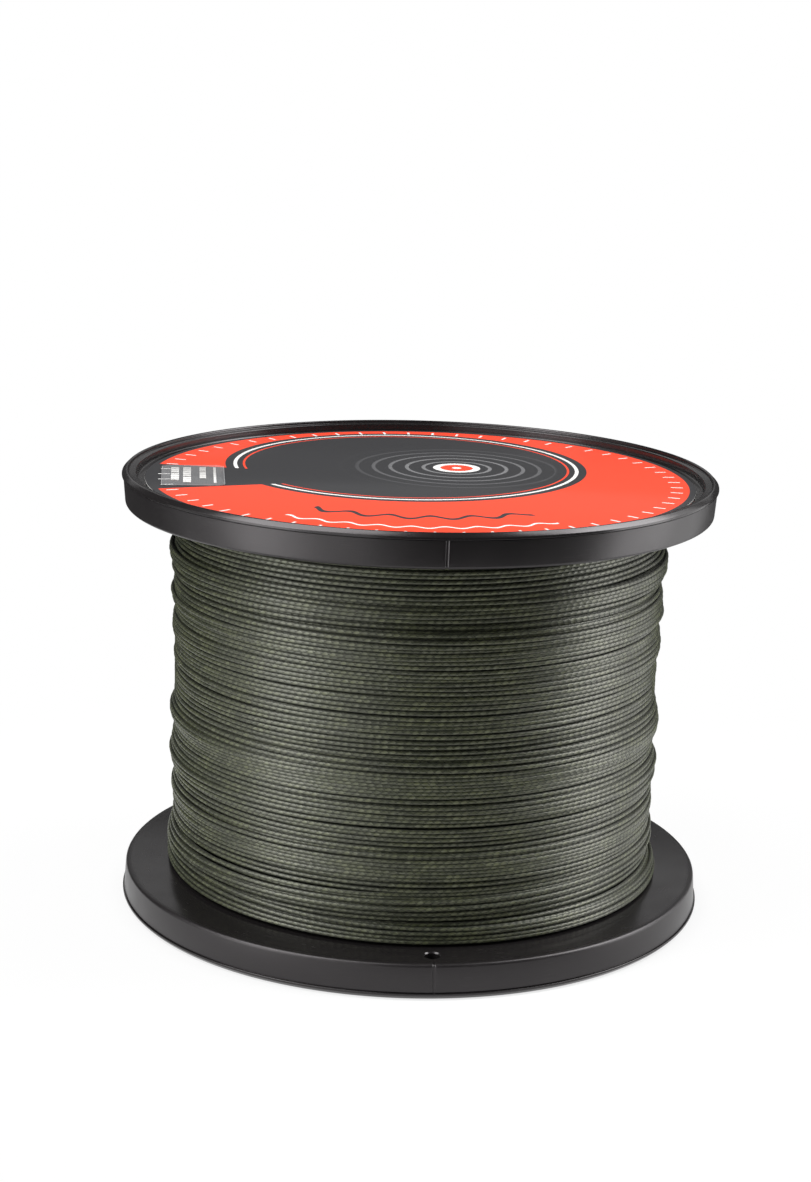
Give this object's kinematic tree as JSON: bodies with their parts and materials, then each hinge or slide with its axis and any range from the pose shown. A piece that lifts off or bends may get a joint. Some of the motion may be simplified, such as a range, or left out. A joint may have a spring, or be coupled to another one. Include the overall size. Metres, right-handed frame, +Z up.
{
  "type": "fishing line spool",
  "caption": "Black moulded filler spool with two stepped flanges, a round label in the top recess, and braided fishing line wound on its barrel.",
  "frame": {"origin": "centre of the lower lip, on the surface the spool stands on", "axes": "+Z up the spool's axis; the line keeper of both flanges is 4.7 degrees from -Y towards +X; the sticker is near -X"},
  "size_m": [0.08, 0.08, 0.0594],
  "materials": {
    "black_moulding": "black injection moulding, satin with glossy lip",
    "label_print": "laminated print, gloss",
    "clear_film": "clear film, gloss",
    "braided_line": "tight dark olive braid, satin",
    "anchor_tape": "crepe paper tape, matt"
  },
  "bodies": {
    "root": {"lower_spool_half": "black_moulding", "upper_spool_half": "black_moulding", "top_label": "label_print", "strength_sticker": "clear_film", "line_core": "braided_line", "line_outer_turns": "braided_line", "anchor_tape": "anchor_tape"}
  },
  "joints": []
}
